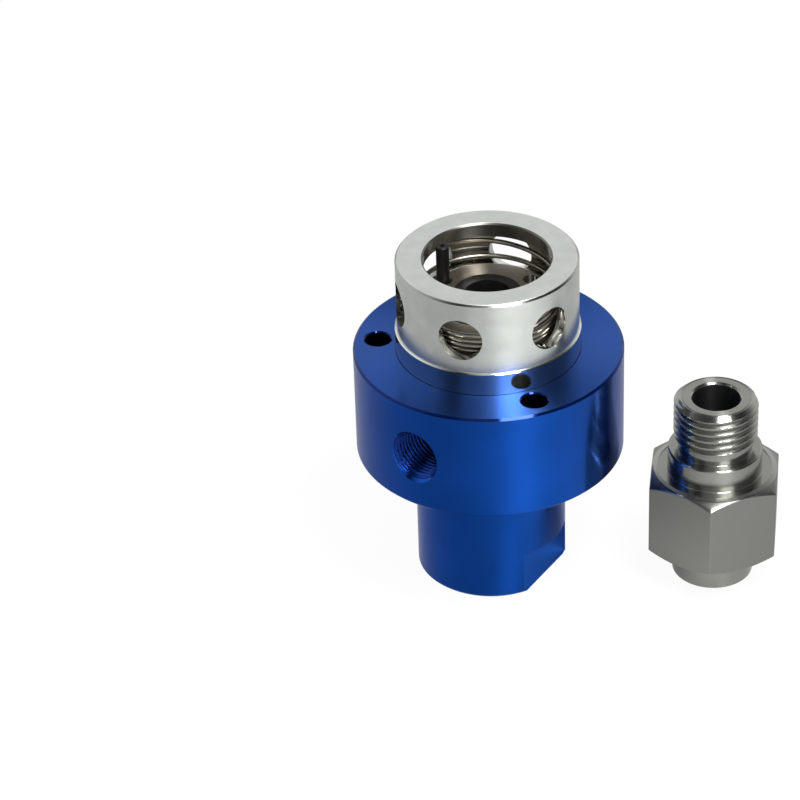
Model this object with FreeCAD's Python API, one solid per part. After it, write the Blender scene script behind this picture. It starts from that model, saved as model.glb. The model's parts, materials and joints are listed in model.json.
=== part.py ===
import FreeCAD, Part
import os
from math import cos, pi, radians, sin, tan
from FreeCAD import Vector

# Hydraulic rotary union without bearings, in millimetres, +Z up.
# The housing stands on its neck: the origin is the centre of the supply port, at the foot of the neck.
# The rotor, which screws into a machine spindle, stands beside it on its sealing nose.
# Azimuths are in degrees from the front (-Y), growing towards the right (+X).

# Clearances
SLIDE_GAP = 0.05        # radial play of the seal carrier's stem in its bush
SOFT_GAP = 0.04         # radial play left round seals
SEAT_GAP = 0.02         # play of pieces that are pressed, screwed or bonded in
AXIAL_GAP = 0.02        # lengthwise play between stacked pieces

# Housing: neck, flange and the spigot that carries the cage
NECK_R = 14.35
NECK_LENGTH = 27.2
NECK_EDGE = 0.5
FLANGE_R = 25.55
FLANGE_THICKNESS = 21.8
FLANGE_EDGE = 0.4
SPIGOT_HEIGHT = 4.2
WRENCH_FLAT_AF = 24.0
WRENCH_FLAT_HEIGHT = 9.2
WRENCH_FLAT_AZ = 56.7

# Housing: supply port and the gland's depth below the spigot's face
SUPPLY_THREAD_R = 8.33
SUPPLY_THREAD_DEPTH = 13.0
GLAND_DEPTH = 22.6

# Housing: side port and mounting holes
DRAIN_THREAD_R = 4.86
DRAIN_THREAD_DEPTH = 9.0
DRAIN_COUNTERSINK = 0.6
DRAIN_BELOW_FACE = 11.0
DRAIN_AZ = -35.7
DRAIN_DRILL_R = 1.5
DRILL_POINT = 118.0     # full angle of a drill's point
FLANGE_HOLE_R = 2.5
FLANGE_HOLE_DEPTH = 13.0
FLANGE_HOLE_PCD = 42.0
FLANGE_HOLE_COUNT = 3
FLANGE_HOLE_AZ = 21.4
FLANGE_HOLE_EDGE = 0.25

# Cage that holds the spring, with its windows; its height counts from the flange's face
CAGE_R = 17.15
CAGE_WALL = 2.15
CAGE_HEIGHT = 19.25
CAGE_TOP_EDGE = 0.4
COLLAR_STEP = 0.35
COLLAR_HEIGHT = 4.6
COLLAR_EDGE = 0.2
SHOULDER = 0.45         # step in the cage's bore that seats on the spigot
SEAT_DEPTH = 0.2        # recess in the flange's face under the collar
SEAT_PLAY = 0.1
LIP_THICKNESS = 2.85
LIP_ROOM = 0.97         # radial room between the hub and the lip
LIP_EDGE = 0.3
WINDOW_R = 4.2
WINDOW_BELOW_TOP = 7.85
WINDOW_COUNT = 6
WINDOW_AZ = -19.6

# Floating seal carrier and its ring
CARRIER_BORE_R = 4.5
STEM_R = 6.0
STEM_LENGTH = 25.6
STEM_EDGE = 0.4
STEM_ROOM = 0.4         # radial room round the stem's foot in the supply bore
CARRIER_ROOM = 0.4      # radial room between the carrier's flange and the cage
CARRIER_FLANGE_THICKNESS = 2.35
HUB_RIM = 1.4           # from the pin's circle to the hub's rim
HUB_HEIGHT = 4.75
HUB_EDGE = 0.45
NOTCH_COUNT = 3
NOTCH_R = 1.7
RING_R = 6.44
RING_BORE_R = 4.3
RING_LENGTH = 3.2
RING_PROUD = 0.2
POCKET_PLAY = 0.06
GASKET_WIDTH = 1.0
GASKET_THICKNESS = 0.9

# Pin that keeps the carrier from turning
PIN_R = 1.25
PIN_BORE_R = 0.45
PIN_WALL = 0.85         # metal between the gland and the pin's hole
PIN_AZ = -122.3
PIN_BELOW_TOP = 0.4
PIN_DEPTH = 7.0
PIN_EDGE = 0.2

# Return spring: closed coils at its foot, one open coil, its end under the lip
WIRE_R = 0.5
COIL_ROOM = 0.8         # between the coils and the cage
COIL_GAP = 0.05         # between closed coils
CLOSED_TURNS = 3.15
SPRING_TURNS = 4.5
OPEN_START = 3.1
OPEN_END = 4.0
RIDE_UP = 1.2           # the last closed coil stands off the others by this much
RIDE_START = 2.3
RIDE_END = 3.15
SPRING_AZ = -75.0
STATIONS_PER_TURN = 20
WIRE_SIDES = 8

# Stem seal in the gland: back-up ring, lip ring with its expander, washer, snap ring, and bush above
SEAL_WIDTH = 1.5
BACKUP_THICKNESS = 1.2
LIP_SEAL_LENGTH = 3.2
LIP_SEAL_HEEL = 1.2
EXPANDER_SIDE = 0.72
WASHER_THICKNESS = 0.8
SNAP_THICKNESS = 1.0
SNAP_GROOVE_DEPTH = 0.35
SNAP_WIDTH = 1.0
SNAP_AZ = 180.0
SNAP_GAP = 55.0         # open part of the snap ring, in degrees
SNAP_EAR_R = 0.9
SNAP_EAR_HOLE_R = 0.4
BUSH_LENGTH = 9.0
BUSH_SINK = 1.2

# Rotor: nose, hexagon, pilot, undercut and thread, from its foot upwards
ROTOR_X = 42.55
ROTOR_Y = -6.34
NOSE_R = 7.75
NOSE_HEIGHT = 6.75
NOSE_EDGE = 0.2
HEX_AF = 24.0
HEX_HEIGHT = 16.9
HEX_CHAMFER = 0.4       # from the flats to the chamfer's inner circle
HEX_CHAMFER_ANGLE = 30.0
HEX_AZ = -8.2
PILOT_R = 9.0
PILOT_HEIGHT = 4.8
PILOT_EDGE = 0.3
UNDERCUT_DEPTH = 0.9
UNDERCUT_HEIGHT = 3.0
THREAD_R = 8.0
THREAD_LENGTH = 8.1
THREAD_CHAMFER = 0.8
THREAD_CHAMFER_DEPTH = 1.2
ROTOR_BORE_R = 4.54
ROTOR_BORE_EDGE = 0.35

# Radii that follow from the sizes above, from the stem outwards
SUPPLY_BORE_R = STEM_R + STEM_ROOM
GLAND_R = STEM_R + SEAL_WIDTH
PIN_CIRCLE_R = GLAND_R + PIN_WALL + PIN_R
HUB_R = PIN_CIRCLE_R + HUB_RIM
LIP_OPENING_R = HUB_R + LIP_ROOM
POCKET_R = RING_R + POCKET_PLAY
CAGE_BORE_R = CAGE_R - CAGE_WALL
SPIGOT_R = CAGE_BORE_R + SHOULDER
COLLAR_R = CAGE_R + COLLAR_STEP
CARRIER_FLANGE_R = CAGE_BORE_R - CARRIER_ROOM
COIL_R = CAGE_BORE_R - COIL_ROOM - WIRE_R

# Heights that follow from the sizes above
FLANGE_Z = NECK_LENGTH
FLANGE_TOP_Z = FLANGE_Z + FLANGE_THICKNESS
SEAT_Z = FLANGE_TOP_Z - SEAT_DEPTH
SPIGOT_TOP_Z = FLANGE_TOP_Z + SPIGOT_HEIGHT
DRAIN_Z = FLANGE_TOP_Z - DRAIN_BELOW_FACE
CAGE_TOP_Z = FLANGE_TOP_Z + CAGE_HEIGHT
LIP_Z = CAGE_TOP_Z - LIP_THICKNESS
CARRIER_FLANGE_TOP_Z = SPIGOT_TOP_Z + CARRIER_FLANGE_THICKNESS
HUB_TOP_Z = CARRIER_FLANGE_TOP_Z + HUB_HEIGHT
POCKET_Z = HUB_TOP_Z + RING_PROUD - RING_LENGTH

# Gland, from its floor upwards
BACKUP_Z = SPIGOT_TOP_Z - GLAND_DEPTH
LIP_SEAL_Z = BACKUP_Z + BACKUP_THICKNESS
WASHER_Z = LIP_SEAL_Z + LIP_SEAL_LENGTH
SNAP_Z = WASHER_Z + WASHER_THICKNESS
BUSH_TOP_Z = SPIGOT_TOP_Z - BUSH_SINK


def spot(radius, azimuth, z=0.0):
    """A point at a radius from the axis, turned by an azimuth from the front."""
    angle = radians(azimuth)
    return Vector(radius * sin(angle), -radius * cos(angle), z)


def ring_azimuths(count, first):
    """Azimuths of equally spaced copies."""
    return [first + k * 360.0 / count for k in range(count)]


def closed_polygon(points):
    return Part.makePolygon(points + points[:1])


def turned(profile):
    """Solid of revolution about Z from (radius, z) corners."""
    face = Part.Face(closed_polygon([Vector(r, 0, z) for r, z in profile]))
    return face.revolve(Vector(0, 0, 0), Vector(0, 0, 1), 360)


def tube(outer, inner, z, height):
    """Plain ring between two radii."""
    return turned([(inner, z), (outer, z), (outer, z + height), (inner, z + height)])


def drilled(radius, depth, mouth, inwards, edge):
    """Blind hole with a countersunk mouth and a drill point."""
    point = radius / tan(radians(DRILL_POINT / 2))
    over = radius
    profile = [(0, -over), (radius + edge, -over), (radius + edge, 0), (radius, edge),
               (radius, depth), (0, depth + point)]
    hole = turned(profile)
    hole.Placement = FreeCAD.Placement(mouth, FreeCAD.Rotation(Vector(0, 0, 1), inwards))
    return hole


def housing():
    """Neck, flange and spigot turned in one piece, with the bores, ports, holes and wrench flats."""
    body = turned([
        (0, 0), (NECK_R - NECK_EDGE, 0), (NECK_R, NECK_EDGE), (NECK_R, FLANGE_Z),
        (FLANGE_R - FLANGE_EDGE, FLANGE_Z), (FLANGE_R, FLANGE_Z + FLANGE_EDGE),
        (FLANGE_R, FLANGE_TOP_Z - FLANGE_EDGE), (FLANGE_R - FLANGE_EDGE, FLANGE_TOP_Z),
        (COLLAR_R + SEAT_PLAY, FLANGE_TOP_Z), (COLLAR_R + SEAT_PLAY, SEAT_Z),
        (SPIGOT_R, SEAT_Z), (SPIGOT_R, SPIGOT_TOP_Z), (0, SPIGOT_TOP_Z)])
    groove_r = GLAND_R + SNAP_GROOVE_DEPTH
    groove_top = SNAP_Z + SNAP_THICKNESS + AXIAL_GAP
    cone_top = SUPPLY_THREAD_DEPTH + SUPPLY_THREAD_R - SUPPLY_BORE_R
    bores = turned([
        (0, 0), (SUPPLY_THREAD_R, 0), (SUPPLY_THREAD_R, SUPPLY_THREAD_DEPTH),
        (SUPPLY_BORE_R, cone_top), (SUPPLY_BORE_R, BACKUP_Z), (GLAND_R, BACKUP_Z),
        (GLAND_R, SNAP_Z), (groove_r, SNAP_Z), (groove_r, groove_top),
        (GLAND_R, groove_top), (GLAND_R, SPIGOT_TOP_Z), (0, SPIGOT_TOP_Z)])
    drain = drilled(DRAIN_THREAD_R, DRAIN_THREAD_DEPTH, spot(FLANGE_R, DRAIN_AZ, DRAIN_Z),
                    spot(-1, DRAIN_AZ), DRAIN_COUNTERSINK)
    cross_drill = Part.makeCylinder(DRAIN_DRILL_R, FLANGE_R, Vector(0, 0, DRAIN_Z + DRAIN_DRILL_R),
                                    spot(1, DRAIN_AZ))
    return body.cut([bores, drain, cross_drill] + flange_holes() + [pin_hole()] + wrench_flats())


def flange_holes():
    """Blind tapped holes that take the mounting screws."""
    return [drilled(FLANGE_HOLE_R, FLANGE_HOLE_DEPTH, spot(FLANGE_HOLE_PCD / 2, az, FLANGE_TOP_Z),
                    Vector(0, 0, -1), FLANGE_HOLE_EDGE)
            for az in ring_azimuths(FLANGE_HOLE_COUNT, FLANGE_HOLE_AZ)]


def pin_hole():
    """Hole in the spigot's face for the foot of the pin."""
    foot = spot(PIN_CIRCLE_R, PIN_AZ, SPIGOT_TOP_Z - PIN_DEPTH)
    return Part.makeCylinder(PIN_R + SEAT_GAP, PIN_DEPTH, foot)


def wrench_flats():
    """Two opposite blocks that mill the flats on the foot of the neck."""
    blocks = []
    for azimuth in (WRENCH_FLAT_AZ, WRENCH_FLAT_AZ + 180):
        block = Part.makeBox(2 * NECK_R, NECK_R, WRENCH_FLAT_HEIGHT,
                             Vector(-NECK_R, -WRENCH_FLAT_AF / 2 - NECK_R, 0))
        block.rotate(Vector(0, 0, 0), Vector(0, 0, 1), azimuth)
        blocks.append(block)
    return blocks


def spring_cage():
    """Turned cage with a base collar, an inner lip over the spring and a row of round windows."""
    collar_z = FLANGE_TOP_Z + COLLAR_HEIGHT
    shell = turned([
        (SPIGOT_R + SEAT_GAP, SEAT_Z), (COLLAR_R, SEAT_Z), (COLLAR_R, collar_z - COLLAR_EDGE),
        (COLLAR_R - COLLAR_EDGE, collar_z), (CAGE_R, collar_z),
        (CAGE_R, CAGE_TOP_Z - CAGE_TOP_EDGE), (CAGE_R - CAGE_TOP_EDGE, CAGE_TOP_Z),
        (LIP_OPENING_R + LIP_EDGE, CAGE_TOP_Z), (LIP_OPENING_R, CAGE_TOP_Z - LIP_EDGE),
        (LIP_OPENING_R, LIP_Z), (CAGE_BORE_R, LIP_Z), (CAGE_BORE_R, SPIGOT_TOP_Z),
        (SPIGOT_R + SEAT_GAP, SPIGOT_TOP_Z)])
    centre = Vector(0, 0, CAGE_TOP_Z - WINDOW_BELOW_TOP)
    windows = [Part.makeCylinder(WINDOW_R, COLLAR_R, centre, spot(1, az))
               for az in ring_azimuths(WINDOW_COUNT, WINDOW_AZ)]
    return shell.cut(windows)


def anti_rotation_pin():
    """Hollow pin that stands in the spigot and guides one notch of the carrier."""
    foot = SPIGOT_TOP_Z - PIN_DEPTH
    top = CAGE_TOP_Z - PIN_BELOW_TOP
    pin = turned([
        (PIN_BORE_R, foot), (PIN_R - PIN_EDGE, foot), (PIN_R, foot + PIN_EDGE), (PIN_R, top - PIN_EDGE),
        (PIN_R - PIN_EDGE, top), (PIN_BORE_R, top)])
    pin.translate(spot(PIN_CIRCLE_R, PIN_AZ))
    return pin


def seal_carrier():
    """Floating carrier: stem, flange under the spring and notched hub with the ring's pocket."""
    stem_z = SPIGOT_TOP_Z - STEM_LENGTH
    gasket_z = POCKET_Z - GASKET_THICKNESS
    carrier = turned([
        (CARRIER_BORE_R, stem_z), (STEM_R - STEM_EDGE, stem_z), (STEM_R, stem_z + STEM_EDGE),
        (STEM_R, SPIGOT_TOP_Z), (CARRIER_FLANGE_R, SPIGOT_TOP_Z),
        (CARRIER_FLANGE_R, CARRIER_FLANGE_TOP_Z), (HUB_R, CARRIER_FLANGE_TOP_Z),
        (HUB_R, HUB_TOP_Z - HUB_EDGE), (HUB_R - HUB_EDGE, HUB_TOP_Z), (POCKET_R, HUB_TOP_Z),
        (POCKET_R, gasket_z), (POCKET_R - GASKET_WIDTH, gasket_z),
        (POCKET_R - GASKET_WIDTH, POCKET_Z), (CARRIER_BORE_R, POCKET_Z)])
    notches = [Part.makeCylinder(NOTCH_R, CARRIER_FLANGE_THICKNESS + HUB_HEIGHT,
                                 spot(PIN_CIRCLE_R, az, SPIGOT_TOP_Z))
               for az in ring_azimuths(NOTCH_COUNT, PIN_AZ)]
    return carrier.cut(notches)


def carrier_seal_ring():
    """Lapped ring that stands proud of the hub."""
    return tube(RING_R, RING_BORE_R, POCKET_Z + AXIAL_GAP, RING_LENGTH - AXIAL_GAP)


def ring_gasket(z):
    """Flat soft ring in the groove behind a sealing ring."""
    return tube(POCKET_R - SOFT_GAP, POCKET_R - GASKET_WIDTH + SOFT_GAP, z, GASKET_THICKNESS - AXIAL_GAP)


def carrier_ring_gasket():
    return ring_gasket(POCKET_Z - GASKET_THICKNESS + AXIAL_GAP)


def spring_height(turns):
    """Height of the wire's centre above its start, after so many turns."""
    pitch = 2 * WIRE_R + COIL_GAP
    room = LIP_Z - CARRIER_FLANGE_TOP_Z - 2 * WIRE_R - 2 * AXIAL_GAP
    closed = pitch * min(turns, CLOSED_TURNS)
    share = min(max((turns - OPEN_START) / (OPEN_END - OPEN_START), 0.0), 1.0)
    opened = (room - pitch * CLOSED_TURNS) * share * share * (3 - 2 * share)
    ride = min(max((turns - RIDE_START) / (RIDE_END - RIDE_START), 0.0), 1.0)
    return closed + opened + RIDE_UP * sin(pi * ride) ** 2


def wire_section(turns):
    """Outline of the wire after so many turns, in the plane through the axis."""
    azimuth = SPRING_AZ + 360 * turns
    centre_z = CARRIER_FLANGE_TOP_Z + WIRE_R + AXIAL_GAP + spring_height(turns)
    angles = [pi * (2 * k + 1) / WIRE_SIDES for k in range(WIRE_SIDES)]
    return closed_polygon([spot(COIL_R + WIRE_R * cos(a), azimuth, centre_z + WIRE_R * sin(a)) for a in angles])


def return_spring():
    """Wire wound right-handed from the carrier's flange up to the lip, lofted from station to station."""
    count = round(SPRING_TURNS * STATIONS_PER_TURN)
    return Part.makeLoft([wire_section(SPRING_TURNS * k / count) for k in range(count + 1)], True, True)


def seal_backup_ring():
    return tube(GLAND_R - SOFT_GAP, STEM_R + SOFT_GAP, BACKUP_Z, BACKUP_THICKNESS - AXIAL_GAP)


def seal_middle():
    """Radius midway between the stem and the gland's wall."""
    return (GLAND_R + STEM_R) / 2


def lip_seal():
    """U-shaped ring whose two lips face the washer, with a groove between them."""
    inner = STEM_R + SOFT_GAP
    outer = GLAND_R - SOFT_GAP
    half = EXPANDER_SIDE / 2 + SEAT_GAP
    groove_floor = LIP_SEAL_Z + LIP_SEAL_HEEL
    top = WASHER_Z - AXIAL_GAP
    return turned([
        (inner, LIP_SEAL_Z), (outer, LIP_SEAL_Z), (outer, top), (seal_middle() + half, top),
        (seal_middle() + half, groove_floor), (seal_middle() - half, groove_floor),
        (seal_middle() - half, top), (inner, top)])


def lip_seal_expander():
    """Small soft ring that spreads the two lips, level with their ends."""
    half = EXPANDER_SIDE / 2
    return tube(seal_middle() + half, seal_middle() - half, WASHER_Z - AXIAL_GAP - EXPANDER_SIDE, EXPANDER_SIDE)


def seal_washer():
    return tube(GLAND_R - SEAT_GAP, STEM_R + SLIDE_GAP + SOFT_GAP, WASHER_Z, WASHER_THICKNESS - AXIAL_GAP)


def gland_snap_ring():
    """Open ring with two pierced ears that holds the seal in its gland."""
    outer = GLAND_R + SNAP_GROOVE_DEPTH - SEAT_GAP
    ring = tube(outer, outer - SNAP_WIDTH, SNAP_Z, SNAP_THICKNESS)
    reach = 2 * outer
    half = SNAP_GAP / 2
    corners = [Vector(0, 0, SNAP_Z), spot(reach, SNAP_AZ - half, SNAP_Z), spot(reach, SNAP_AZ + half, SNAP_Z)]
    wedge = Part.Face(closed_polygon(corners)).extrude(Vector(0, 0, SNAP_THICKNESS))
    ears = []
    holes = []
    ear_reach = outer - SNAP_EAR_R - SEAT_GAP
    ear_angle = half + SNAP_EAR_R / ear_reach * 180 / pi
    for side in (-1, 1):
        centre = spot(ear_reach, SNAP_AZ + side * ear_angle, SNAP_Z)
        ears.append(Part.makeCylinder(SNAP_EAR_R, SNAP_THICKNESS, centre))
        holes.append(Part.makeCylinder(SNAP_EAR_HOLE_R, SNAP_THICKNESS, centre))
    stem_room = Part.makeCylinder(STEM_R + SOFT_GAP, SNAP_THICKNESS, Vector(0, 0, SNAP_Z))
    return ring.cut(wedge).fuse(ears).cut(holes + [stem_room]).removeSplitter()


def guide_bush():
    """Plain bush, pressed into the top of the bore, in which the stem slides."""
    return tube(GLAND_R - SEAT_GAP, STEM_R + SLIDE_GAP, BUSH_TOP_Z - BUSH_LENGTH, BUSH_LENGTH)


def hexagon(corner_r, z, height):
    """Six-sided prism, set by the azimuth of one of its corners."""
    corners = [spot(corner_r, az, z) for az in ring_azimuths(6, HEX_AZ)]
    return Part.Face(closed_polygon(corners)).extrude(Vector(0, 0, height))


def chamfered_hexagon():
    """Hexagon whose corners are turned off to a shallow cone at both ends."""
    corner_r = HEX_AF / 2 / cos(radians(30))
    chamfer_r = HEX_AF / 2 - HEX_CHAMFER
    top = NOSE_HEIGHT + HEX_HEIGHT
    drop = (corner_r - chamfer_r) * tan(radians(HEX_CHAMFER_ANGLE))
    envelope = turned([
        (0, NOSE_HEIGHT), (chamfer_r, NOSE_HEIGHT), (corner_r, NOSE_HEIGHT + drop),
        (corner_r, top - drop), (chamfer_r, top), (0, top)])
    return hexagon(corner_r, NOSE_HEIGHT, HEX_HEIGHT).common(envelope)


def rotor():
    """Nose, chamfered hexagon, pilot, undercut and threaded end on one bore."""
    hex_top = NOSE_HEIGHT + HEX_HEIGHT
    pilot_top = hex_top + PILOT_HEIGHT
    thread_z = pilot_top + UNDERCUT_HEIGHT
    end = thread_z + THREAD_LENGTH
    undercut_r = THREAD_R - UNDERCUT_DEPTH
    shank = turned([
        (0, RING_PROUD), (NOSE_R - NOSE_EDGE, RING_PROUD), (NOSE_R, RING_PROUD + NOSE_EDGE),
        (NOSE_R, hex_top), (PILOT_R, hex_top), (PILOT_R, pilot_top - PILOT_EDGE),
        (PILOT_R - PILOT_EDGE, pilot_top), (undercut_r, pilot_top),
        (undercut_r, thread_z - UNDERCUT_DEPTH), (THREAD_R, thread_z), (THREAD_R, end - THREAD_CHAMFER),
        (THREAD_R - THREAD_CHAMFER_DEPTH, end), (0, end)])
    gasket_top = RING_LENGTH + GASKET_THICKNESS
    bore = turned([
        (0, 0), (POCKET_R, 0), (POCKET_R, gasket_top), (POCKET_R - GASKET_WIDTH, gasket_top),
        (POCKET_R - GASKET_WIDTH, RING_LENGTH), (ROTOR_BORE_R, RING_LENGTH),
        (ROTOR_BORE_R, end - ROTOR_BORE_EDGE), (ROTOR_BORE_R + ROTOR_BORE_EDGE, end), (0, end)])
    return beside(shank.fuse(chamfered_hexagon()).removeSplitter().cut(bore))


def beside(shape):
    """Moves a piece from the housing's axis to the rotor's own axis."""
    shape.translate(Vector(ROTOR_X, ROTOR_Y, 0))
    return shape


def rotor_seal_ring():
    return beside(tube(RING_R, ROTOR_BORE_R, 0, RING_LENGTH - AXIAL_GAP))


def rotor_ring_gasket():
    return beside(ring_gasket(RING_LENGTH))


PIECES = {
    "housing": housing,
    "spring_cage": spring_cage,
    "anti_rotation_pin": anti_rotation_pin,
    "return_spring": return_spring,
    "seal_carrier": seal_carrier,
    "carrier_seal_ring": carrier_seal_ring,
    "carrier_ring_gasket": carrier_ring_gasket,
    "guide_bush": guide_bush,
    "gland_snap_ring": gland_snap_ring,
    "seal_washer": seal_washer,
    "lip_seal": lip_seal,
    "lip_seal_expander": lip_seal_expander,
    "seal_backup_ring": seal_backup_ring,
    "rotor": rotor,
    "rotor_seal_ring": rotor_seal_ring,
    "rotor_ring_gasket": rotor_ring_gasket,
}

os.makedirs("parts", exist_ok=True)
for name, make in PIECES.items():
    shape = make()
    if shape.ShapeType != "Solid":
        shape = shape.Solids[0] if len(shape.Solids) == 1 else Part.makeCompound(shape.Solids)
    print(name, "valid" if shape.isValid() else "NOT VALID", round(shape.Volume, 2))
    shape.exportStep("parts/" + name + ".step")
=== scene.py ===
# %% [markdown]
# A rotary union lets coolant flow from a standing pipe into a turning spindle. This one has no bearings. A
# blue housing stands on its neck and carries a bright cage, in which a sprung seal ring floats. The rotor, a
# steel nipple with a hexagon, screws into the spindle and stands beside the housing here.
# The solids come in already placed, in metres. This file gives them their metals and their light, and works
# out again, as numpy surfaces, the pieces that need more shape: threads, round wire, eased edges.

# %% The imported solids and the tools
import json
import bpy
import numpy as np
from mathutils import Matrix, Vector


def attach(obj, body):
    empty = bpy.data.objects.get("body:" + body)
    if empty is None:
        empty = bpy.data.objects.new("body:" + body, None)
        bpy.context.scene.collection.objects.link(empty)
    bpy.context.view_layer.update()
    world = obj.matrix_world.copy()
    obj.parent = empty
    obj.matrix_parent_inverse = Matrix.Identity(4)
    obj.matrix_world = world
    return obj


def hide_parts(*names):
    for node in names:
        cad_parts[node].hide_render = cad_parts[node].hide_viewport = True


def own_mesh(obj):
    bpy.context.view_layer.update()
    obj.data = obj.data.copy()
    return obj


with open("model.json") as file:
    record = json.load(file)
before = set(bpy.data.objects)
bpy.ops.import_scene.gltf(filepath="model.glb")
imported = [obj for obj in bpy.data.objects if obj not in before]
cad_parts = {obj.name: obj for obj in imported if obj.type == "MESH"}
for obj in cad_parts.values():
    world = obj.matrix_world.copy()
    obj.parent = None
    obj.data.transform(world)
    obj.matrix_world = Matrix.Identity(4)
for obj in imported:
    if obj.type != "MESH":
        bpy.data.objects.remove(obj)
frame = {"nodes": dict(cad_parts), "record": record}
bpy.context.view_layer.update()
MM = 0.001
print("solids:", len(frame["nodes"]))

# %% [markdown]
# The camera comes from the outlines of the two pieces: they are round, so their ellipses give the height and
# the distance of the lens. It is a long lens, about 157 mm on a full frame, that looks down by 34 degrees.

# %% Camera at the photograph's place
RIGHT = Vector((0.999404, -0.019214, -0.028686))
UP = Vector((0.034526, 0.556167, 0.830353))
LOOK = Vector((0.0, 0.830848, -0.556499))
EYE = Vector((-16.987, -552.106, 406.793)) * MM

lens = bpy.data.cameras.new("long_lens")
lens.lens = 157.27
lens.sensor_width = 36.0
lens.clip_start = 0.02
lens.clip_end = 20.0
camera = bpy.data.objects.new("camera", lens)
bpy.context.scene.collection.objects.link(camera)
camera.matrix_world = Matrix.Translation(EYE) @ Matrix((RIGHT, UP, -LOOK)).transposed().to_4x4()
bpy.context.scene.camera = camera
bpy.context.scene.view_settings.view_transform = "Standard"
print("camera", round(EYE.length / MM), "mm from the neck's foot, lens", lens.lens)

# %% [markdown]
# Colours are written as the hex values that a screen shows, and one function turns them to the linear values
# that the shader wants. A second small function adds a node, sets it and joins it in one line.

# %% Colour and node helpers
def linear(code):
    """sRGB to linear: value / 12.92 where it is small, else ((value + 0.055) / 1.055) to the power 2.4."""
    value = np.array([int(code[i:i + 2], 16) for i in (1, 3, 5)]) / 255.0
    flat = np.where(value <= 0.04045, value / 12.92, ((value + 0.055) / 1.055) ** 2.4)
    return (*flat.tolist(), 1.0)


def feed(tree, node, values):
    """Sets each socket to its value, or joins it to another node's output."""
    for socket, value in values.items():
        if isinstance(value, bpy.types.NodeSocket):
            tree.links.new(value, node.inputs[socket])
        else:
            node.inputs[socket].default_value = value


def add(tree, kind, inputs=None, **settings):
    """One node: settings are its own switches, and inputs gives its sockets their values or links."""
    node = tree.nodes.new("ShaderNode" + kind)
    for name, value in settings.items():
        setattr(node, name, value)
    feed(tree, node, inputs or {})
    return node


print("linear mid grey:", round(linear("#808080")[0], 3))

# %% [markdown]
# The part stands on a white sweep. The floor is a pale matt sheet that mostly glows for the camera, so that it
# stays white and still shows a faint shadow. Metal mirrors that sheet too: upright walls show the floor beside
# them, so how white it is there draws the light and dark bands on them. That whiteness is painted light in the
# glow that metal sees: it is whitest in front and to the right, and falls off round the part, as paper does
# under a lamp that hangs on that side. In the narrow gap between the two pieces a painted shadow darkens it.

# %% Floor
LAMP_SIDE = (0.559, -0.829, 0.0)
PART_MIDDLE = (0.015, 0.0, 0.0)
PAINTED_SHADOW_MIDDLE = (0.028, -0.004, 0.0)
PAINTED_SHADOW_NEAR, PAINTED_SHADOW_FAR = 5 * MM, 22 * MM
CAMERA_GLOW = 0.95
HALF_FLOOR = 4


def white_floor():
    """For the camera 95 % glow of strength 1 and 5 % matt paper. For mirror rays a painted pool of light, a
    glow 0.5 + 0.5 c^2.5, where c is the cosine of the angle, seen from the part, between the spot and the
    lamp's side. A painted shadow at the gap halves it."""
    material = bpy.data.materials.new("white_matt_paper_sweep")
    material.use_nodes = True
    tree = material.node_tree
    tree.nodes.clear()
    place = add(tree, "TexCoord")
    spot = add(tree, "VectorMath", {0: place.outputs["Object"], 1: PART_MIDDLE}, operation="SUBTRACT")
    spot = add(tree, "VectorMath", {0: spot.outputs[0]}, operation="NORMALIZE")
    facing = add(tree, "VectorMath", {0: spot.outputs[0], 1: LAMP_SIDE}, operation="DOT_PRODUCT")
    facing = add(tree, "Math", {0: facing.outputs["Value"], 1: 0.0}, operation="MAXIMUM")
    # painted light: a pool in the floor's mirror glow, whitest towards the lamp's side
    pool = add(tree, "Math", {0: facing.outputs[0], 1: 2.5}, operation="POWER")
    pool = add(tree, "MapRange", {"Value": pool.outputs[0], "To Min": 0.5, "To Max": 1.0})
    # painted shadow: the mirror glow falls to half near the gap between the two pieces
    gap = add(tree, "VectorMath", {0: place.outputs["Object"], 1: PAINTED_SHADOW_MIDDLE}, operation="DISTANCE")
    gap = add(tree, "MapRange", {"Value": gap.outputs["Value"], "From Min": PAINTED_SHADOW_NEAR, "From Max": PAINTED_SHADOW_FAR,
                                 "To Min": 0.5, "To Max": 1.0}, interpolation_type="SMOOTHSTEP")
    pool = add(tree, "Math", {0: pool.outputs[0], 1: gap.outputs[0]}, operation="MULTIPLY")
    lost = add(tree, "Math", {0: 1.0, 1: pool.outputs[0]}, operation="SUBTRACT")
    rays = add(tree, "LightPath")
    dimmed = add(tree, "Math", {0: rays.outputs["Is Glossy Ray"], 1: lost.outputs[0]}, operation="MULTIPLY")
    strength = add(tree, "Math", {0: 1.0, 1: dimmed.outputs[0]}, operation="SUBTRACT")
    seen = add(tree, "Math", {0: rays.outputs["Is Camera Ray"], 1: rays.outputs["Is Transmission Ray"]},
               operation="ADD")
    share = add(tree, "Math", {0: seen.outputs[0], 1: CAMERA_GLOW}, operation="MULTIPLY")
    share = add(tree, "Math", {0: share.outputs[0], 1: rays.outputs["Is Glossy Ray"]}, operation="ADD")
    matt = add(tree, "BsdfDiffuse", {"Color": linear("#F2F2F1")})
    glow = add(tree, "Emission", {"Color": (1, 1, 1, 1), "Strength": strength.outputs[0]})
    both = add(tree, "MixShader", {0: share.outputs[0], 1: matt.outputs[0], 2: glow.outputs[0]})
    add(tree, "OutputMaterial", {"Surface": both.outputs[0]})
    return material


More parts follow.
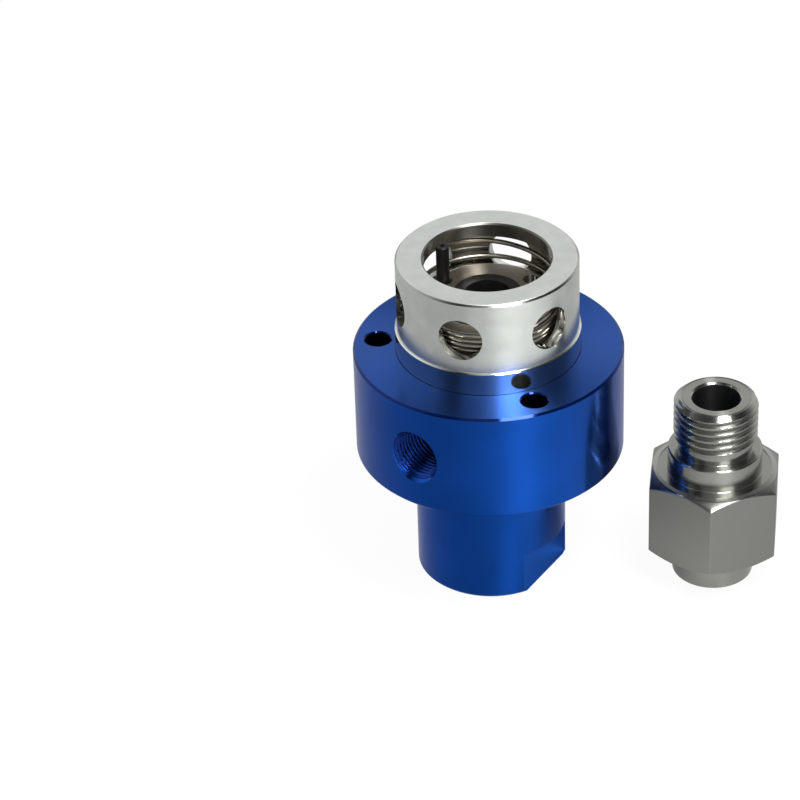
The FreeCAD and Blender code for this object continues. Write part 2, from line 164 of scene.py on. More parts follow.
corners = [(x * HALF_FLOOR, y * HALF_FLOOR, 0) for x, y in ((-1, -1), (1, -1), (1, 1), (-1, 1))]
floor_mesh = bpy.data.meshes.new("floor")
floor_mesh.from_pydata(corners, [], [(0, 1, 2, 3)])
floor = bpy.data.objects.new("floor", floor_mesh)
floor.data.materials.append(white_floor())
bpy.context.scene.collection.objects.link(floor)
print("floor", 2 * HALF_FLOOR, "m wide, at the height of the neck's foot")

# %% [markdown]
# One soft box hangs above and in front, a little to the right. Walls show it as a light band, turned upper
# faces as a bright fan and chamfers as a short white glint. Its width lies along X, and it faces the part.

# %% Lamp
AIM = Vector((0.01, 0.0, 0.035))
BOX_WAY = Vector((0.25, -0.4, 0.88)).normalized()
BOX_DISTANCE = 1.0

lamp = bpy.data.lights.new("key_box", "AREA")
lamp.shape = "RECTANGLE"
lamp.size = 0.34
lamp.size_y = 0.46
lamp.energy = 10.5
box = bpy.data.objects.new("key_box", lamp)
bpy.context.scene.collection.objects.link(box)
box_side = (Vector((1, 0, 0)) - BOX_WAY * BOX_WAY.x).normalized()
box_turn = Matrix((box_side, BOX_WAY.cross(box_side), BOX_WAY)).transposed().to_4x4()
box.matrix_world = Matrix.Translation(AIM + BOX_WAY * BOX_DISTANCE) @ box_turn
print("soft box:", lamp.energy, "W,", round(lamp.size / BOX_DISTANCE, 2), "rad wide")

# %% [markdown]
# The world is white to the camera, and matt surfaces get an even light from it, a little weaker than white.
# Metal sees a room instead: white at the horizon, darker towards the ceiling, and dark above the viewer and
# to the right, where the lamps are off. Each smooth step reads the direction of the ray, as its height or as
# its cosine with the bright side of the room.

# %% World, the room that metal sees
CEILING = 0.12
DARKEST = 0.94
BRIGHT_SIDE = (-0.45, 0.89, 0.0)

world = bpy.data.worlds.new("studio")
bpy.context.scene.world = world
world.use_nodes = True
sky = world.node_tree
sky.nodes.clear()
way = add(sky, "TexCoord").outputs["Generated"]
up = add(sky, "SeparateXYZ", {0: way}).outputs["Z"]
ceiling = add(sky, "MapRange", {"Value": up, "From Min": 0.42, "From Max": 0.95,
                                "To Min": 1.0, "To Max": CEILING}, interpolation_type="SMOOTHSTEP")
behind = add(sky, "VectorMath", {0: way, 1: BRIGHT_SIDE}, operation="DOT_PRODUCT")
dark = add(sky, "MapRange", {"Value": behind.outputs["Value"], "From Min": -0.25, "From Max": 0.3,
                             "To Min": DARKEST, "To Max": 0.0}, interpolation_type="SMOOTHSTEP")
raised = add(sky, "MapRange", {"Value": up, "From Min": 0.1, "From Max": 0.4}, interpolation_type="SMOOTHSTEP")
dark = add(sky, "Math", {0: dark.outputs[0], 1: raised.outputs[0]}, operation="MULTIPLY")
lit = add(sky, "Math", {0: 1.0, 1: dark.outputs[0]}, operation="SUBTRACT")
room = add(sky, "Math", {0: ceiling.outputs[0], 1: lit.outputs[0]}, operation="MULTIPLY")
print("room: horizon 1.0, ceiling", CEILING, "dark half", round(1 - DARKEST, 2))

# %% [markdown]
# Two panels light up the dark half. The strong one is small, and the bright collar shows it by way of the
# blue flange. The weak one is broad. Each takes the room's place where it is the brighter. Last, each kind of
# ray is given what it sees.

# %% World, its panels and its rays
PANELS = [((0.363, -0.745, 0.559), (0.955, 0.992), 5.0), ((-0.072, -0.826, 0.559), (0.848, 0.951), 0.6)]
MATT_LIGHT = 0.8

for towards, (rim, full), brightness in PANELS:
    beside = add(sky, "VectorMath", {0: way, 1: towards}, operation="DOT_PRODUCT")
    panel = add(sky, "MapRange", {"Value": beside.outputs["Value"], "From Min": rim, "From Max": full,
                                  "To Min": 0.0, "To Max": brightness}, interpolation_type="SMOOTHSTEP")
    room = add(sky, "Math", {0: room.outputs[0], 1: panel.outputs[0]}, operation="MAXIMUM")
rays = add(sky, "LightPath")
strength = add(sky, "Math", {0: rays.outputs["Is Glossy Ray"], 1: room.outputs[0]}, operation="MULTIPLY")
matt = add(sky, "Math", {0: rays.outputs["Is Diffuse Ray"], 1: MATT_LIGHT}, operation="MULTIPLY")
for seen in (rays.outputs["Is Camera Ray"], rays.outputs["Is Transmission Ray"], matt.outputs[0]):
    strength = add(sky, "Math", {0: strength.outputs[0], 1: seen}, operation="MAXIMUM")
light = add(sky, "Background", {"Color": (1, 1, 1, 1), "Strength": strength.outputs[0]})
add(sky, "OutputWorld", {"Surface": light.outputs[0]})
print("panels:", [brightness for _, _, brightness in PANELS], "matt light", MATT_LIGHT)

# %% [markdown]
# Nearly every face here was cut on a lathe, so one helper gives all metals the lathe's mark: rings round the
# axis, as far apart as the feed, near 0.05 mm. Close up they are thin lines on a wall and circles on a face,
# and from the camera they blend to a sheen. They also pull each reflection out across themselves, which is
# why a turned face shows a bright fan; the shader's anisotropy does that, with its tangent along the ring.

# %% Lathe marks
AXIS = {"housing": (0.0, 0.0, 0.0), "rotor": (42.55 * MM, -6.34 * MM, 0.0)}
NOISE_SPAN = {"From Min": 0.3, "From Max": 0.7}


def lathe_marks(tree, centre, spacing, depth):
    """Rings: noise read at (radius + height) / spacing, raised by a depth, both in mm. Gives the bumped
    normal, the ring's direction, the noise, the height and the radius."""
    place = add(tree, "TexCoord")
    moved = add(tree, "VectorMath", {0: place.outputs["Object"], 1: centre}, operation="SUBTRACT")
    flat = add(tree, "VectorMath", {0: moved.outputs[0], 1: (1.0, 1.0, 0.0)}, operation="MULTIPLY")
    radius = add(tree, "VectorMath", {0: flat.outputs[0]}, operation="LENGTH").outputs["Value"]
    height = add(tree, "SeparateXYZ", {0: moved.outputs[0]}).outputs["Z"]
    travel = add(tree, "Math", {0: radius, 1: height}, operation="ADD")
    rings = add(tree, "TexNoise", {"W": travel.outputs[0], "Scale": 1.0 / (spacing * MM), "Detail": 2.0,
                                   "Roughness": 0.6}, noise_dimensions="1D").outputs["Fac"]
    ring_way = add(tree, "VectorMath", {0: (0.0, 0.0, 1.0), 1: flat.outputs[0]}, operation="CROSS_PRODUCT")
    ring_way = add(tree, "VectorMath", {0: ring_way.outputs[0]}, operation="NORMALIZE")
    bump = add(tree, "Bump", {"Strength": 1.0, "Distance": depth * MM, "Height": rings})
    return {"normal": bump.outputs[0], "tangent": ring_way.outputs[0], "rings": rings, "height": height,
            "radius": radius}


print("axes in mm:", {name: [round(v / MM, 2) for v in centre] for name, centre in AXIS.items()})

# %% [markdown]
# One turned piece has faces of several finishes: a satin wall, a finer cut on a collar, a darker bore. They
# are told apart by height and radius. A zone is a mask made from the two, and a new value is laid over the
# old one there. Slow blotches keep a large face from looking like plastic.

# %% Zones and blotches
def zone(tree, marks, height, radius=None):
    """1 where the height, and the radius if given, lies within (middle, half width) in mm, else 0."""
    spans = {"height": height, "radius": radius} if radius else {"height": height}
    masks = [add(tree, "Math", {0: marks[name], 1: middle * MM, 2: half * MM}, operation="COMPARE")
             for name, (middle, half) in spans.items()]
    if radius:
        masks.append(add(tree, "Math", {0: masks[0].outputs[0], 1: masks[1].outputs[0]}, operation="MULTIPLY"))
    return masks[-1].outputs[0]


def layered(tree, value, *layers):
    """Lays new values over a first one: mask * new + (1 - mask) * old. A colour is a tuple."""
    for mask, new in layers:
        if isinstance(new, tuple):
            value = add(tree, "MixRGB", {"Fac": mask, "Color1": value, "Color2": new}).outputs[0]
        else:
            value = add(tree, "Mix", {0: mask, 2: value, 3: new}, data_type="FLOAT").outputs[0]
    return value


def patches(tree, size, low, high):
    """Slow change over the surface: soft noise with blotches of a size in mm, mapped from low to high."""
    place = add(tree, "TexCoord")
    noise = add(tree, "TexNoise", {"Vector": place.outputs["Object"], "Scale": 1.0 / (size * MM),
                                   "Detail": 3.0})
    return add(tree, "MapRange", {"Value": noise.outputs["Fac"], **NOISE_SPAN, "To Min": low,
                                  "To Max": high}).outputs[0]


print("noise is read from", *NOISE_SPAN.values())

# %% [markdown]
# A turned face is a mirror between its grooves, and each groove's round flank throws light far out across
# itself. One shader can't be both, so a second, wide one takes a share: its roughness is the spread of the
# flanks, and full anisotropy draws it out across the ring, as a fan on a face and a band on a wall.

# %% Turned metal
FLANK_SPREAD = 0.52
ACROSS_RING = 0.25


def new_material(name):
    """An empty material with its Principled shader and output, ready for links."""
    material = bpy.data.materials.new(name)
    material.use_nodes = True
    tree = material.node_tree
    tree.nodes.clear()
    shader = add(tree, "BsdfPrincipled")
    output = add(tree, "OutputMaterial", {"Surface": shader.outputs[0]})
    return material, tree, shader, output


def turned_metal(name, centre, spacing, depth, finish):
    """Polish and flank, mixed by a share. The finish gives, from the tree and its marks, the polish's values,
    the flank's share and the flank's colour."""
    material, tree, polish, output = new_material(name)
    marks = lathe_marks(tree, centre, spacing, depth)
    values, share, flank_tone = finish(tree, marks)
    grain = {"Metallic": 1.0, "Anisotropic Rotation": ACROSS_RING, "Tangent": marks["tangent"],
             "Normal": marks["normal"]}
    feed(tree, polish, {**grain, **values})
    flank = add(tree, "BsdfPrincipled", {**grain, "Base Color": flank_tone, "Roughness": FLANK_SPREAD,
                                         "Anisotropic": 1.0})
    both = add(tree, "MixShader", {0: share, 1: polish.outputs[0], 2: flank.outputs[0]})
    tree.links.new(both.outputs[0], output.inputs["Surface"])
    print(name + ":", len(tree.nodes), "nodes, rings", spacing, "mm apart")
    return material


print("flank roughness", FLANK_SPREAD, "turned by", ACROSS_RING, "of a full turn")

# %% [markdown]
# The housing is aluminium, turned and then anodised: acid grows a hard clear skin on it that takes up blue
# dye. Light goes through the skin, off the metal and out again, so the colour is deep and still metallic.
# The flange's upper face shows more of its grooves than the walls do, and its chamfer is a narrow dark line
# with a white glint; the dark of that line is painted shade, a darker blue in the chamfer's colour. The wrench
# flats are milled, so nothing draws their reflections out, and they stay blue even when seen at a flat angle.

# %% Blue anodised aluminium
def blue_finish(tree, marks):
    """Zones: the flange's upper face, its chamfer and the two wrench flats at the neck's foot."""
    face = zone(tree, marks, (49.0, 0.005))
    # the chamfer zone carries painted shade: its colour below is a darker blue than the dye
    chamfer = zone(tree, marks, (48.79, 0.2))
    flats = zone(tree, marks, (4.6, 4.62), (13.1, 1.22))
    dye = layered(tree, linear("#144CA6"), (patches(tree, 9, 0.0, 1.0), linear("#1751B4")))
    gloss = add(tree, "MapRange", {"Value": marks["rings"], **NOISE_SPAN, "To Min": 0.12, "To Max": 0.2})
    values = {
        "Base Color": layered(tree, dye, (chamfer, linear("#06205F")), (flats, linear("#0C42B8"))),
        "Specular Tint": layered(tree, linear("#FFFFFF"), (flats, linear("#CCF4FF"))),
        "Metallic": layered(tree, 1.0, (chamfer, 0.75)),
        "Roughness": layered(tree, gloss.outputs[0], (chamfer, 0.1)),
        "Anisotropic": layered(tree, 0.5, (flats, 0.0)),
    }
    share = layered(tree, 0.25, (face, 0.65), (flats, 0.0), (chamfer, 0.0))
    return values, share, layered(tree, dye, (face, linear("#3F67B6")))


BLUE = turned_metal("blue_anodised_aluminium", AXIS["housing"], 0.05, 0.00015, blue_finish)

# %% [markdown]
# The cage is plain aluminium, turned bright and left bare. Its wall is satin, and its lip is dull and even. The
# collar at its foot had a finer cut and mirrors the blue flange. The bore is painted a darker grey, as shade
# inside the cage, and the walls of the windows are smooth. The lip's outer and inner edges are painted darker
# too, as shade that stands for the dark room they mirror.

# %% Bright turned aluminium
def cage_finish(tree, marks):
    """Zones: collar, bore, the windows' walls, the lip, and the lip's outer and inner edges."""
    collar = zone(tree, marks, (51.0, 2.55))
    # painted shade: the bore's grey below is darker than the bare metal
    bore = zone(tree, marks, (58.0, 9.9), (7.8, 7.8))
    window_walls = zone(tree, marks, (60.4, 4.4), (16.0, 1.05))
    lip = zone(tree, marks, (68.2, 0.1))
    # painted shade: both edges of the lip get darker tones below, for the dark room they mirror
    painted_dark_outer_edge = zone(tree, marks, (67.98, 0.2), (16.95, 0.19))
    painted_dark_inner_edge = zone(tree, marks, (68.05, 0.18), (12.12, 0.17))
    bare = layered(tree, linear("#D5D9D4"), (patches(tree, 3, 0.0, 1.0), linear("#DFE3DE")))
    tone = layered(tree, bare, (bore, linear("#97968F")), (painted_dark_outer_edge, linear("#A9AAA7")),
                   (painted_dark_inner_edge, linear("#75736E")))
    rough = layered(tree, 0.22, (collar, 0.09), (bore, 0.2), (window_walls, 0.1),
                    (lip, patches(tree, 1.6, 0.39, 0.45)), (painted_dark_outer_edge, 0.18), (painted_dark_inner_edge, 0.34))
    values = {"Base Color": tone, "Roughness": rough, "Anisotropic": layered(tree, 0.4, (lip, 0.0))}
    return values, layered(tree, 0.11, (collar, 0.02), (lip, 0.0), (bore, 0.12)), tone


BRIGHT = turned_metal("bright_turned_aluminium", AXIS["housing"], 0.06, 0.0003, cage_finish)

# %% [markdown]
# The carrier is stainless steel, which is greyer and warmer than aluminium, and its rings are shallower. The
# side of its hub is painted light: a matt, pale cream in place of steel, so that it reads bright inside the
# cage. The top of the hub is turned fine.

# %% Stainless steel of the carrier
STEEL_RINGS, STEEL_DEPTH = 0.06, 0.00008


def carrier_finish(tree, marks):
    """Zones: the hub's side and its top."""
    # painted light: the hub's side is made a pale, matt cream, not metal
    side = zone(tree, marks, (57.8, 2.1), (11.0, 0.1))
    top = zone(tree, marks, (60.3, 0.12))
    gloss = add(tree, "MapRange", {"Value": marks["rings"], **NOISE_SPAN, "To Min": 0.187, "To Max": 0.253})
    tone = layered(tree, linear("#A3A098"), (side, linear("#F4EDDB")), (top, linear("#B9B1A2")))
    values = {
        "Base Color": tone,
        "Metallic": layered(tree, 1.0, (side, 0.0)),
        "Roughness": layered(tree, gloss.outputs[0], (side, 0.45), (top, 0.34)),
        "Anisotropic": 0.4,
    }
    return values, layered(tree, 0.2, (top, 0.25)), tone


CARRIER_STEEL = turned_metal("turned_stainless_steel", AXIS["housing"], STEEL_RINGS, STEEL_DEPTH,
                             carrier_finish)

# %% [markdown]
# The rotor is the same steel with a finer finish. On its hexagon a linishing belt has drawn upright lines.
# They are drawn 0.18 mm apart, coarser than the belt's grit leaves them, so that they show. The thread is a
# little duller than the pilot, and the bore is painted a dark grey, as shade inside it.

# %% Stainless steel of the rotor
BORE_LIMIT = 4.6 * MM
BELT_LINES = 0.18 * MM
LINES_UPRIGHT = (1.0, 1.0, 0.02)


def rotor_finish(tree, marks):
    """Zones: the hexagon, the thread and the bore. The belt's lines are noise stretched fifty times in Z."""
    hexagon = zone(tree, marks, (15.2, 8.5), (20.0, 8.1))
    screw = zone(tree, marks, (35.2, 3.4))
    # painted shade: the bore gets a dark grey tone below
    bore = add(tree, "Math", {0: marks["radius"], 1: BORE_LIMIT}, operation="LESS_THAN").outputs[0]
    gloss = add(tree, "MapRange", {"Value": marks["rings"], **NOISE_SPAN, "To Min": 0.1275, "To Max": 0.1725})
    place = add(tree, "TexCoord")
    drawn = add(tree, "Mapping", {"Vector": place.outputs["Object"], "Scale": LINES_UPRIGHT})
    lines = add(tree, "TexNoise", {"Vector": drawn.outputs[0], "Scale": 1.0 / BELT_LINES, "Detail": 3.0})
    belt = add(tree, "MapRange", {"Value": lines.outputs["Fac"], **NOISE_SPAN, "To Min": 0.3, "To Max": 0.34})
    tone = layered(tree, linear("#9C9D97"), (hexagon, linear("#898A85")), (bore, linear("#5A5B5C")))
    rough = layered(tree, gloss.outputs[0], (hexagon, belt.outputs[0]), (screw, 0.22), (bore, 0.4))
    share = layered(tree, 0.2, (screw, 0.1), (hexagon, 0.05), (bore, 0.03))
    return {"Base Color": tone, "Roughness": rough, "Anisotropic": 0.4}, share, tone


ROTOR_STEEL = turned_metal("turned_and_linished_stainless_steel", AXIS["rotor"], STEEL_RINGS, STEEL_DEPTH,
                           rotor_finish)

# %% [markdown]
# The small pieces are plainer. The spring is drawn stainless wire. The pin is steel blackened by oxide, which
# is matt. The seal rings are silicon carbide, lapped flat to a dull dark grey. The bush is bearing bronze, and
# the soft rings are PTFE and nitrile rubber. The threads in the ports and the deep mounting holes are painted
# darker than the dyed faces, as shade inside them; the mounting holes are painted nearly black.

# %% Wire, oxide, ceramic, bronze, PTFE, rubber and holes painted dark
def plain(name, colours, metallic, rough, size, bump=0.0, **more):
    """Tone and roughness change slowly in blotches of a size in mm, with a fine bump, in mm, if wanted."""
    material, tree, shader, _ = new_material(name)
    blotch = patches(tree, size, 0.0, 1.0)
    gloss = add(tree, "MapRange", {"Value": blotch, "To Min": rough[0], "To Max": rough[1]})
    grain = add(tree, "Bump", {"Strength": 1.0, "Distance": bump * MM, "Height": blotch})
    feed(tree, shader, {"Base Color": layered(tree, linear(colours[0]), (blotch, linear(colours[1]))),
                        "Metallic": metallic, "Roughness": gloss.outputs[0], "Normal": grain.outputs[0],
                        **more})
    print(name + ": blotches", size, "mm")
    return material


WIRE = plain("drawn_stainless_wire", ("#8E8A80", "#A39E94"), 1.0, (0.24, 0.3), 4.0)
BLACK_OXIDE = plain("oxide_blackened_steel", ("#0A0A0A", "#111111"), 0.0, (0.42, 0.52), 0.6, 0.002,
                    **{"Specular IOR Level": 0.25})
CARBIDE = plain("lapped_silicon_carbide", ("#161515", "#1B1A1A"), 0.0, (0.2, 0.24), 3.0)
BRONZE = plain("bearing_bronze", ("#A9803F", "#BC9250"), 1.0, (0.25, 0.35), 1.0, 0.001)
PTFE = plain("white_ptfe", ("#DAD8CF", "#E4E2DA"), 0.0, (0.4, 0.5), 1.0)
NITRILE = plain("black_nitrile_rubber", ("#121212", "#1B1B1B"), 0.0, (0.5, 0.62), 0.6, 0.002)
# painted shade: the threads' colour is darker than the dye, and the holes' is nearly black
PAINTED_DARK_THREAD = plain("painted_dark_anodised_thread", ("#10307A", "#153B90"), 0.9, (0.14, 0.22), 0.3)
PAINTED_SHADE_HOLE = plain("painted_shade_hole", ("#020308", "#04050C"), 0.0, (0.5, 0.65), 0.4,
                  **{"Specular IOR Level": 0.0})

# %% [markdown]
# The record names a finish for every solid, and that name picks the material. The housing, the cage, the
# carrier, the pin and the rings keep the shape of their solids and only get their metal here.

# %% Finishes on the solids
FINISH = {"blue_anodised": BLUE, "turned_aluminium": BRIGHT, "stainless": CARRIER_STEEL, "spring_wire": WIRE,
          "blackened_steel": BLACK_OXIDE, "silicon_carbide": CARBIDE, "bearing_bronze": BRONZE, "ptfe": PTFE,
          "nitrile": NITRILE}

for row in frame["record"]["subparts"]:
    for holder in frame["nodes"][row["node"]].material_slots:
        holder.material = FINISH[row["material_slot"]]
print("finishes:", ", ".join(FINISH))

# %% [markdown]
# New shapes are skins over a grid of points. One index runs round the axis and the other along the profile;
# neighbours are joined by four-sided faces. If the enclosed volume comes out negative, the faces look inwards
# and are turned round.

# %% A skin over a grid
def skin(name, grid, body, slot, material, loop=True, caps=False, crease=50):
    """Joins point (i, j) with (i+1, j), (i+1, j+1), (i, j+1). The volume is a third of the sum of each face's
    centre . area."""
    rows, columns = grid.shape[:2]
    index = np.arange(rows * columns).reshape(rows, columns)
    here = index if loop else index[:-1]
    there = np.roll(index, -1, axis=0) if loop else index[1:]
    quads = np.stack([here, np.roll(here, -1, 1), np.roll(there, -1, 1), there], -1).reshape(-1, 4)
    points = grid.reshape(-1, 3) * MM
    corner = points[quads]
    area = np.cross(corner[:, 2] - corner[:, 0], corner[:, 3] - corner[:, 1]) / 2
    volume = (corner.mean(1) * area).sum() / 3
    inwards = volume < 0
    faces = (quads[:, ::-1] if inwards else quads).tolist()
    if caps:
        ends = [index[0][::-1].tolist(), index[-1].tolist()]
        faces += [end[::-1] for end in ends] if inwards else ends
    mesh = bpy.data.meshes.new(name)
    mesh.from_pydata(points.tolist(), [], faces)
    mesh.update()
    mesh.shade_smooth()
    mesh.set_sharp_from_angle(angle=np.radians(crease))
    mesh.materials.append(material)
    piece = bpy.data.objects.new(name, mesh)
    bpy.context.scene.collection.objects.link(piece)
    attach(piece, body)
    print(f"{name}: {len(faces)} faces, {abs(volume) * 1e9:.0f} cubic mm")
    return piece


print("edges sharper than", skin.__defaults__[2], "degrees stay sharp")

# %% [markdown]
# Round pieces share three small functions: the angles of a full turn, the points of a surface from radius,
# height and angle, and a profile whose corners are eased, as a file or a radiused tool leaves them.

# %% Turned grids and eased profiles
def around(count):
    """Azimuths for a full turn, in radians, from the front (-Y) towards +X."""
    return np.arange(count) * 2 * np.pi / count


def turned_grid(radius, height, azimuth, centre=(0.0, 0.0)):
    """Points (r sin a, -r cos a, z) from arrays of rows by columns, moved to a centre, in mm."""
    radius, height, azimuth = np.broadcast_arrays(radius, height, azimuth)
    return np.stack([centre[0] + radius * np.sin(azimuth), centre[1] - radius * np.cos(azimuth), height], -1)


def eased(corners, steps=4):
    """Each corner (r, z, setback) becomes a curve between its two legs, (1-s)^2 A + 2 s (1-s) P + s^2 B, with
    a point a little further out on each leg that keeps the flat beside it flat."""
    data = np.array(corners, float)
    point = data[:, :2]
    before = np.roll(point, 1, 0) - point
    after = np.roll(point, -1, 0) - point
    before = before / np.linalg.norm(before, axis=1, keepdims=True)
    after = after / np.linalg.norm(after, axis=1, keepdims=True)
    setback = data[:, 2:3]
    start = (point + before * setback)[:, None]
    end = (point + after * setback)[:, None]
    s = np.linspace(0, 1, steps)[None, :, None]
    curve = (1 - s) ** 2 * start + 2 * s * (1 - s) * point[:, None] + s ** 2 * end
    hold_a = (point + before * setback * 1.5)[:, None]
    hold_b = (point + after * setback * 1.5)[:, None]
    return np.concatenate([hold_a, curve, hold_b], 1).reshape(-1, 2)


print("points of a ring of 10 mm:", turned_grid(10.0, 0.0, around(4)).round(1).tolist())

# %% [markdown]
# The rotor was turned from hexagon bar, and two functions give its shape as a radius. On the hexagon that is
# half the width over flats divided by the cosine of the angle from the flat's middle. The M16 thread is a
# radius too: it depends on height minus pitch times the turned angle, so the groove climbs as the angle grows.

# %% Hexagon and thread as radii
def hexagon_radius(azimuth, across_flats, corner_azimuth, ease=0.25):
    """Distance to a hexagon's side: (AF/2) / cos(angle from the flat's middle), with corners rounded to a
    radius ease whose centre lies (AF/2 - ease) / cos 30 out: d cos f + sqrt(ease^2 - d^2 sin^2 f)."""
    half = across_flats / 2
    from_corner = (azimuth - corner_azimuth + np.pi / 6) % (np.pi / 3) - np.pi / 6
    side = half / np.cos(np.pi / 6 - np.abs(from_corner))
    reach = (half - ease) / np.cos(np.pi / 6)
    limit = np.pi / 6 - np.arctan((half - ease) * np.tan(np.pi / 6) / half)
    inside = np.clip(ease ** 2 - (reach * np.sin(from_corner)) ** 2, 0, None)
    corner = reach * np.cos(from_corner) + np.sqrt(inside)
    return np.where(np.abs(from_corner) < limit, corner, side)


def thread_depth(height, azimuth, pitch, start):
    """How deep the groove is below the crest: 0 on the crest's flat, an eighth of the pitch wide, then down a
    60 degree flank to a root a quarter of the pitch wide. The crest climbs one pitch a turn."""
    turns = (height - start) / pitch - azimuth / (2 * np.pi)
    from_crest = np.abs((turns + 0.5) % 1.0 - 0.5) * pitch
    share = np.clip((from_crest - pitch / 16) / (pitch / 2 - pitch / 16 - pitch / 8), 0, 1)
    return share * (pitch / 2 - pitch * 3 / 16) * np.tan(np.pi / 3)


def rotor_angles(corner_azimuth):
    """Even angles, and closer ones at the six corners."""
    close = np.radians([-2.4, -1.6, -1.1, -0.8, -0.55, -0.3, 0, 0.3, 0.55, 0.8, 1.1, 1.6, 2.4])
    six = corner_azimuth + np.arange(6) * np.pi / 3
    return np.unique(np.round(np.concatenate([around(200), (six[:, None] + close).ravel() % (2 * np.pi)]), 6))


print("M16 groove:", round(float(thread_depth(0.75, 0.0, 1.5, 0.0)), 3), "mm deep")

# %% [markdown]
# The rotor's surface is one skin: out of the nose's counterbore, up the outside over hexagon, pilot and thread,
# and down the bore. It is written in stretches, each with radii and heights for every angle. On the hexagon,
# 30 degree cones cut the corners, so an edge there is lower or higher as the radius grows. Rows close to each
# edge keep the flats beside it flat.

# %% Nose and hexagon of the rotor
ROTOR_AXIS = (42.55, -6.34)
BORE_R, NOSE_R, CONE_R, ACROSS_FLATS = 4.54, 7.75, 11.6, 24.0
FOOT, TOP = 6.75, 23.65
HEX_TURN = np.radians(-8.2)
SLOPE = np.tan(np.pi / 6)

turn = rotor_angles(HEX_TURN)[None, :]
hexagon = hexagon_radius(turn, ACROSS_FLATS, HEX_TURN)
nose = np.array(eased([(BORE_R, 3.2, 0.02), (5.5, 3.2, 0.02), (5.5, 4.1, 0.02), (6.5, 4.1, 0.02),
                       (6.5, 0.2, 0.05), (7.55, 0.2, 0.05), (NOSE_R, 0.4, 0.06), (NOSE_R, FOOT, 0.03)]))
meet = TOP - (hexagon - CONE_R) * SLOPE
foot = FOOT + (hexagon - CONE_R) * SLOPE
half_way = hexagon * 0.5 + CONE_R / 2
half_rise = (hexagon * 0.5 - CONE_R / 2) * SLOPE
flank = [(CONE_R - 0.08, FOOT), (CONE_R + 0.08, FOOT + 0.08 * SLOPE), (half_way, FOOT + half_rise),
         (hexagon - 0.14, foot - 0.14 * SLOPE), (hexagon - 0.05, foot + 0.02), (hexagon, foot + 0.15),
         (hexagon, foot + 0.3), (hexagon, 11.0), (hexagon, 15.0), (hexagon, 19.0), (hexagon, meet - 0.3),
         (hexagon, meet - 0.15), (hexagon - 0.05, meet - 0.02), (hexagon - 0.14, meet + 0.14 * SLOPE),
         (half_way, TOP - half_rise), (CONE_R + 0.08, TOP - 0.08 * SLOPE), (CONE_R - 0.08, TOP)]
flank = np.array([[np.broadcast_to(value, hexagon.shape)[0] for value in row] for row in flank])
print("hexagon:", len(flank), "rows of", turn.size, "points")
print("over corners:", round(2 * float(hexagon.max()), 2), "mm")

# %% [markdown]
# Above the hexagon come the pilot and an undercut that frees the thread's foot. The thread's crest runs in by
# a 45 degree slope and runs out by a cone at the end. Its radius is the lesser of that envelope and the groove.

# %% Pilot, thread and the finished rotor
PILOT, THREAD, END = 28.45, 31.45, 39.55
PILOT_R, UNDERCUT_R, THREAD_R, PITCH = 9.0, 7.1, 8.0, 1.5
RUN_IN, RUN_OUT, FIRST_CREST = 0.9, 0.8, 2.03

pilot = np.array(eased([(11.0, TOP, 0.2), (9.12, TOP, 0.05), (PILOT_R, TOP + 0.12, 0.05),
                        (PILOT_R, PILOT - 0.3, 0.1), (8.7, PILOT, 0.1), (UNDERCUT_R, PILOT, 0.15),
                        (UNDERCUT_R, THREAD - 1.3, 0.2)])[1:-1])
height = np.linspace(THREAD - RUN_IN, END, 225)[:, None]
crest = np.minimum(np.minimum(THREAD_R, UNDERCUT_R + (height - THREAD + RUN_IN)),
                   THREAD_R - 1.5 * (height - (END - RUN_OUT)))
groove = THREAD_R - thread_depth(height, turn, PITCH, END - FIRST_CREST - PITCH * 8 / 360)
threaded = np.minimum(crest, np.maximum(groove, UNDERCUT_R))
threaded = np.stack([threaded, np.broadcast_to(height, threaded.shape)], 1)
bore = np.array(eased([(6.5, END, 0.1), (BORE_R + 0.35, END, 0.1), (BORE_R, END - 0.35, 0.1),
                       (BORE_R, 20.0, 0.1)])[1:])
stretches = (nose[:, :, None], flank, pilot[:, :, None], threaded, bore[:, :, None])
profile = np.concatenate([np.broadcast_to(part, (len(part), 2, turn.size)) for part in stretches], 0)
rotor = skin("rotor_with_thread", turned_grid(profile[:, 0], profile[:, 1], turn, ROTOR_AXIS),
             "rotor_assembly", "stainless", ROTOR_STEEL, crease=24)
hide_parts("rotor")

# %% [markdown]
# The return spring is wound from 1 mm wire. Three coils lie nearly closed on the carrier and the fourth opens
# up to the lip. Its surface is a circle carried along the coil, in the plane through the axis. When the carrier
# rises, the spring shortens towards the lip.

# %% Return spring
CARRIER_TOP, LIP_UNDERSIDE, STROKE = 55.55, 65.4, 2.0
SPRING_ROOM = LIP_UNDERSIDE - CARRIER_TOP
COIL_R, WIRE_R, COIL_PITCH = 13.7, 0.49, 1.05
WINDINGS, CLOSED = 4.5, 3.15


def smooth(value):
    """0 below 0, 1 above 1, and 3 s^2 - 2 s^3 between."""
    value = np.clip(value, 0, 1)
    return value * value * (3 - 2 * value)


def spring_height(turns):
    """The wire's height above its start: a pitch a turn, then an open coil, with a hump where it lifts off."""
    room = SPRING_ROOM - 1.0 - 0.04
    hump = 1.2 * np.sin(np.pi * np.clip((turns - 2.3) / 0.85, 0, 1)) ** 2
    opened = (room - COIL_PITCH * CLOSED) * smooth((turns - 3.1) / 0.9)
    return COIL_PITCH * np.minimum(turns, CLOSED) + opened + hump


turns = np.linspace(0, WINDINGS, 4 * 112)[:, None]
wire = around(16)[None, :]
coil = turned_grid(COIL_R + WIRE_R * np.cos(wire),
                   CARRIER_TOP + 0.52 + spring_height(turns) + WIRE_R * np.sin(wire),
                   np.radians(-75.0) + 2 * np.pi * turns)
spring = skin("return_spring_wire", coil, "housing_assembly", "spring_wire", WIRE, loop=False, caps=True)
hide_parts("return_spring")
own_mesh(spring)

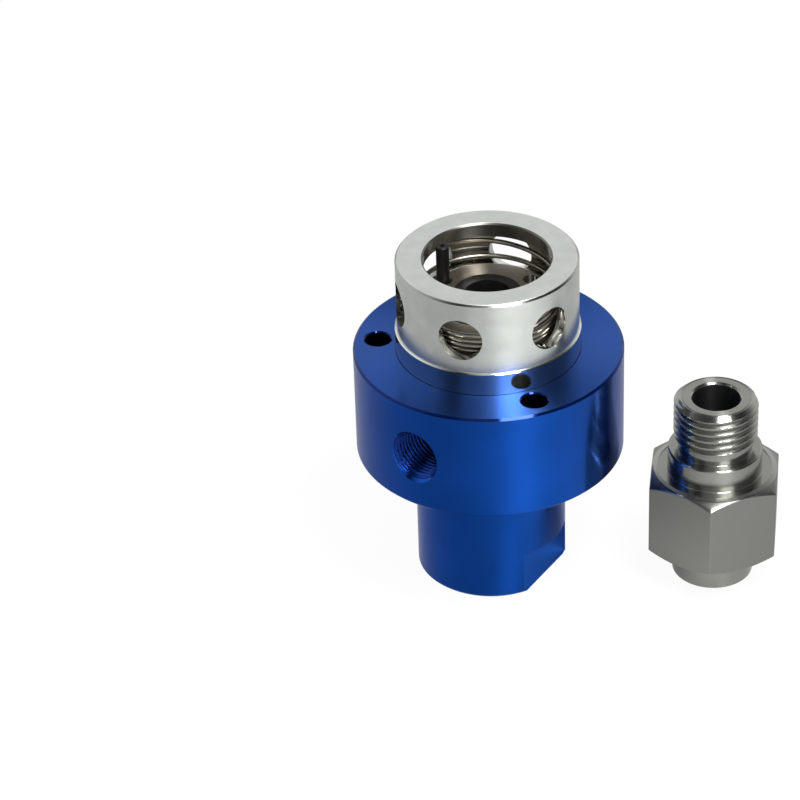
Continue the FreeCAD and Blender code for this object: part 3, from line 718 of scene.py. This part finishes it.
# %% [markdown]
# The tapped holes are plain in the solids. Each gets its thread as a thin sleeve inside it: the inner wall
# carries the groove, with its crests cut back at the mouth by the countersink, and the outer wall hides just
# inside the hole.

# %% A threaded sleeve
ENGAGED = 0.6134


def tapped(name, mouth, inwards, major, pitch, length, finish, plain_mouth=0.0):
    """The inner radius is the major radius minus what the groove leaves standing, at most 0.6134 of the pitch,
    and no less than a 45 degree cone at the mouth or where the plain mouth ends. The outer radius is just
    under the major radius."""
    inwards = np.array(inwards, float) / np.linalg.norm(inwards)
    side = np.cross(inwards, (0.0, 0.0, 1.0) if abs(inwards[2]) < 0.9 else (1.0, 0.0, 0.0))
    side /= np.linalg.norm(side)
    other = np.cross(inwards, side)
    angle = around(96)[None, :]
    depth = np.linspace(0.0, length, int(length / pitch * 14))[:, None]
    ridge = ENGAGED * pitch - np.minimum(thread_depth(depth, angle, pitch, 0.0), ENGAGED * pitch)
    inner = np.minimum(np.maximum(major - ridge, major + 0.1 - depth + plain_mouth), major - 0.04)
    radius = np.concatenate([inner, np.full((2, angle.size), major - 0.01)])
    along = np.concatenate([np.broadcast_to(depth, inner.shape), np.full((1, angle.size), length),
                            np.zeros((1, angle.size))])
    grid = (np.array(mouth)[None, None] + along[..., None] * inwards
            + radius[..., None] * (np.cos(angle)[..., None] * side + np.sin(angle)[..., None] * other))
    return skin(name, grid, "housing_assembly", "blue_anodised", finish)


print("a G 1/8 thread stands", round(ENGAGED * 0.907, 2), "mm high in its hole")

# %% [markdown]
# The side port is a G 1/8 thread, 28 to the inch, and the supply port is a G 3/8, 19 to the inch. The three
# mounting holes are M5 on a circle of 42 mm, 120 degrees apart. They start with a plain stretch, and their
# thread lies deep in the dark.

# %% Threads in the ports and the mounting holes
FACE_HEIGHT, HOLE_CIRCLE_R, FIRST_HOLE = 49.0, 21.0, 21.4
PORT_HEIGHT, PORT_AZIMUTH = 38.0, np.radians(-35.7)

outwards = np.array([np.sin(PORT_AZIMUTH), -np.cos(PORT_AZIMUTH), 0.0])
port_mouth = (outwards * 24.95 + (0, 0, PORT_HEIGHT)).tolist()
tapped("drain_port_thread", port_mouth, -outwards, 4.86, 0.907, 8.2, PAINTED_DARK_THREAD)
tapped("supply_port_thread", (0, 0, 0.05), (0, 0, 1), 8.33, 1.337, 12.8, PAINTED_DARK_THREAD)
for letter, azimuth in zip("abc", np.radians([FIRST_HOLE, FIRST_HOLE + 120, FIRST_HOLE + 240])):
    mouth = (HOLE_CIRCLE_R * np.sin(azimuth), -HOLE_CIRCLE_R * np.cos(azimuth), FACE_HEIGHT - 0.25)
    tapped("mounting_hole_thread_" + letter, mouth, (0, 0, -1), 2.5, 0.8, 12.5, PAINTED_SHADE_HOLE, 3.6)
